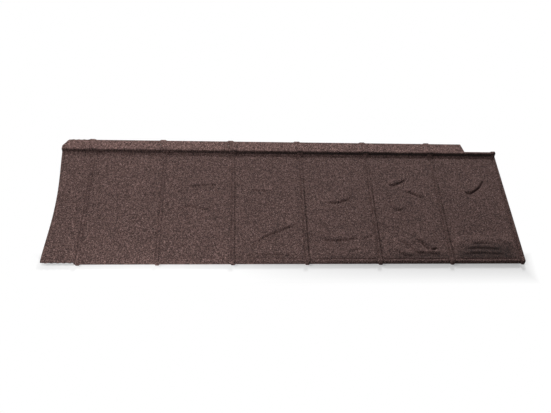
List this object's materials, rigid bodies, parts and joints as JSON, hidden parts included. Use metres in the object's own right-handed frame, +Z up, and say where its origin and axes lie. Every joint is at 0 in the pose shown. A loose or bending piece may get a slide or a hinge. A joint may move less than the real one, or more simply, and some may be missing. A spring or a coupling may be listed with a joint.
{
  "type": "tile effect metal roofing sheet",
  "caption": "Pressed steel roofing sheet with a stone chip coat, standing ribs, a fluted side lap, a down-turned nose and a raised back flange.",
  "frame": {"origin": "on the floor under the middle of the sheet's bounding box, as it lies at rest", "axes": "+X along the sheet from the fluted side lap to the end rib, +Y from the nose to the back flange, +Z up"},
  "size_m": [1.3438, 0.4202, 0.0162],
  "materials": {
    "stone_coated_steel": "matte brown stone chip coat on steel"
  },
  "bodies": {
    "root": {"roof_tile_sheet": "stone_coated_steel"}
  },
  "joints": []
}
